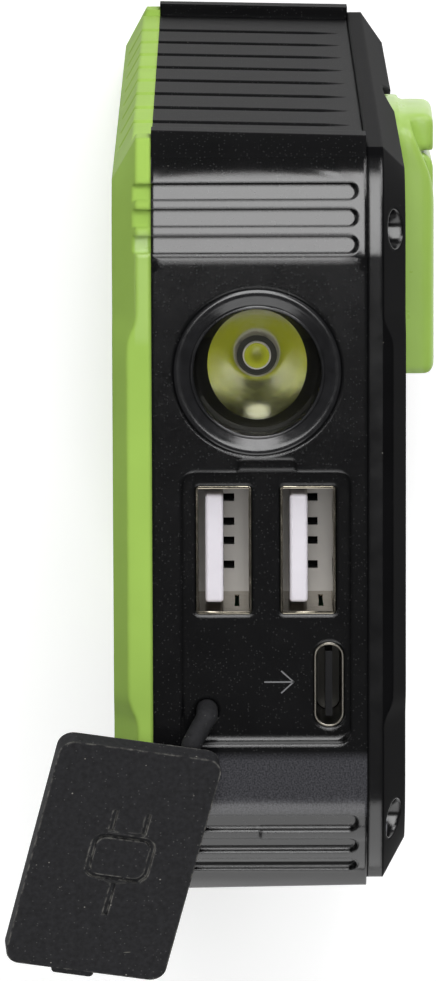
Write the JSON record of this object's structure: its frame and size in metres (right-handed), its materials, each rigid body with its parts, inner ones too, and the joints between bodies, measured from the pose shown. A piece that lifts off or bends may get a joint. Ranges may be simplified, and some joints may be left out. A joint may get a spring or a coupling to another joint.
{
  "type": "hand crank phone charger",
  "caption": "Rugged solar and hand-crank power bank with end torch, USB sockets behind a rubber cover, ribbed sides and a folding crank on the back.",
  "frame": {"origin": "middle of the flat tail face that it stands on", "axes": "+Z along the length towards the port end, +Y out of the back with the crank, -Y out of the solar front, X across the width with the torch at -X"},
  "size_m": [0.0873, 0.0454, 0.1437],
  "materials": {
    "black_shell": "fine satin black ABS with polished lands",
    "green_shell": "smooth lime green ABS",
    "rubber": "matt black rubber",
    "steel": "nickel plated steel",
    "dark_screw": "black zinc screws",
    "clear": "clear polycarbonate",
    "mirror_cup": "vapour-metallised reflector",
    "led": "yellow phosphor dome",
    "board": "green glass-epoxy board",
    "chip": "black epoxy",
    "white_plastic": "white nylon",
    "black_plastic": "black nylon",
    "gilt": "gold plated contacts",
    "cells": "dark blue silicon",
    "acetal": "white acetal gears",
    "brass": "turned brass",
    "copper": "enamelled copper winding",
    "magnet": "sintered magnet",
    "pouch": "aluminium laminate pouch",
    "foam": "adhesive foam"
  },
  "bodies": {
    "case": {"back_cover": "black_shell", "battery_cell": "pouch", "battery_pad": "foam", "board_screws": "dark_screw", "button_switch": "black_plastic", "case_screws": "dark_screw", "charge_chips": "chip", "front_bezel": "green_shell", "front_plate": "black_plastic", "gear_plate": "steel", "gear_plate_screws": "dark_screw", "generator_can": "steel", "generator_coil": "copper", "idler_axle": "steel", "indicator_lenses": "white_plastic", "inductor": "chip", "lamp_lens": "clear", "lamp_ring": "black_shell", "led_board": "board", "main_board": "board", "main_housing": "black_shell", "port_board": "board", "reflector": "mirror_cup", "solar_cells": "cells", "solar_window": "clear", "torch_led": "led", "usb_a_contacts_1": "gilt", "usb_a_contacts_2": "gilt", "usb_a_shell_1": "steel", "usb_a_shell_2": "steel", "usb_a_tongue_1": "white_plastic", "usb_a_tongue_2": "white_plastic", "usb_c_riser": "black_plastic", "usb_c_shell": "steel", "usb_c_tongue": "black_plastic"},
    "crank": {"crank_arm": "green_shell", "crank_shaft": "steel", "crank_screw": "dark_screw", "drive_gear": "acetal", "grip_pin": "steel"},
    "grip": {"crank_grip": "green_shell"},
    "idler": {"idler_gear": "acetal"},
    "rotor": {"rotor_shaft": "steel", "generator_magnet": "magnet", "rotor_pinion": "brass"},
    "button": {"power_button": "black_shell"},
    "stem": {"cover_stem": "rubber"},
    "flap": {"port_cover": "rubber"}
  },
  "joints": [
    {"name": "crank_spin", "type": "hinge", "parent": "case", "child": "crank", "pos_m": [0, 0.0136, 0.068], "axis": [0, 1, 0], "continuous": true},
    {"name": "grip_fold", "type": "hinge", "parent": "crank", "child": "grip", "pos_m": [-0.0282, 0.01735, 0.068], "axis": [0, 0, 1], "range_deg": [0, 90]},
    {"name": "idler_spin", "type": "hinge", "parent": "case", "child": "idler", "pos_m": [0.01401, 0.00405, 0.04851], "axis": [0, 1, 0], "continuous": true},
    {"name": "rotor_spin", "type": "hinge", "parent": "case", "child": "rotor", "pos_m": [0.0015, 0.00405, 0.03821], "axis": [0, 1, 0], "continuous": true},
    {"name": "button_press", "type": "slide", "parent": "case", "child": "button", "axis": [-1, 0, 0], "range_m": [0, 0.0006], "stiffness_N_per_m": 400, "springref_m": -0.0005},
    {"name": "cover_swivel", "type": "hinge", "parent": "case", "child": "stem", "pos_m": [0.0196, -0.0054, 0.136], "axis": [0, 0, 1], "range_deg": [-40, 14]},
    {"name": "cover_flex", "type": "hinge", "parent": "stem", "child": "flap", "pos_m": [0.02222, -0.00698, 0.13858], "axis": [-0.1748, -0.9678, 0.1813], "range_deg": [0, 60]}
  ],
  "couplings": [
    {"joint": "idler_spin", "follows": "crank_spin", "ratio": -4},
    {"joint": "rotor_spin", "follows": "crank_spin", "ratio": 14}
  ]
}
